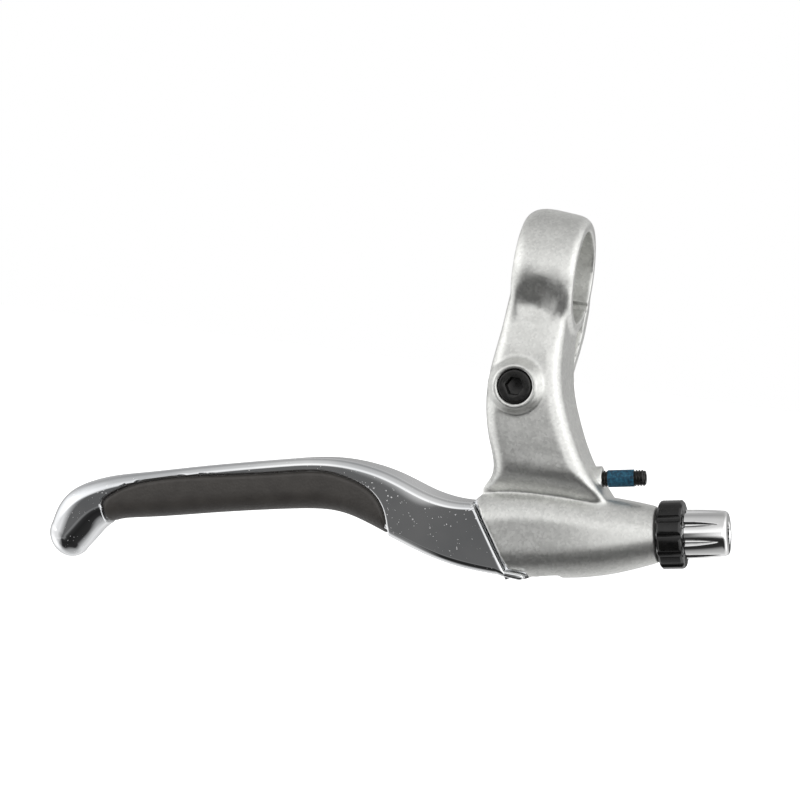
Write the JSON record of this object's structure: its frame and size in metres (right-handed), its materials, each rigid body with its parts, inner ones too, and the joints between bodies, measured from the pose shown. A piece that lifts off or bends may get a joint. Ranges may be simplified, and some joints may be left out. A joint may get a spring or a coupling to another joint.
{
  "type": "bicycle brake lever",
  "caption": "Flat-bar bicycle brake lever: cast clamp body, pivoting polished blade with rubber finger insert, cable adjuster barrel with lock ring, and reach screw.",
  "frame": {"origin": "centre of the handlebar clamp bore, at the middle of the band", "axes": "+X along the handlebar, inboard, towards the cable adjuster; +Z from the blade up to the clamp; the face with the clamp bolt looks along -Y"},
  "size_m": [0.1705, 0.0323, 0.1019],
  "materials": {
    "body_paint": "silver paint with fine metallic flake",
    "polished_aluminium": "polished",
    "insert_rubber": "matt, fine dots",
    "black_steel": "black oxide",
    "black_anodised": "black anodised, satin",
    "spring_steel": "drawn wire",
    "bushing_nylon": "natural nylon",
    "patch_nylon": "blue thread-lock patch"
  },
  "bodies": {
    "body": {"body_casting": "body_paint", "clamp_bolt": "black_steel", "pivot_bolt": "black_steel", "return_spring": "spring_steel"},
    "lever": {"lever_blade": "polished_aluminium", "grip_insert": "insert_rubber", "front_bushing": "bushing_nylon", "rear_bushing": "bushing_nylon"},
    "adjuster": {"barrel_adjuster": "polished_aluminium"},
    "adjuster_lock": {"lock_ring": "black_anodised"},
    "reach": {"reach_screw": "black_steel", "thread_lock_patch": "patch_nylon"}
  },
  "joints": [
    {"name": "lever_pivot", "type": "hinge", "parent": "body", "child": "lever", "pos_m": [0.001, -0.0025, -0.039], "axis": [0, 1, 0], "range_deg": [0, 28], "stiffness_Nm_per_rad": 0.12, "springref_deg": -34.38, "deforming": ["return_spring"]},
    {"name": "adjuster_screw", "type": "slide", "parent": "body", "child": "adjuster", "axis": [0.9848, 0, 0.1736], "range_m": [0, 0.007]},
    {"name": "lock_ring_turn", "type": "hinge", "parent": "body", "child": "adjuster_lock", "pos_m": [0.0378, -0.0025, -0.0578], "axis": [0.9848, 0, 0.1736], "continuous": true},
    {"name": "reach_screw_slide", "type": "slide", "parent": "body", "child": "reach", "axis": [0.9848, 0, 0.1736], "range_m": [0, 0.004]}
  ]
}
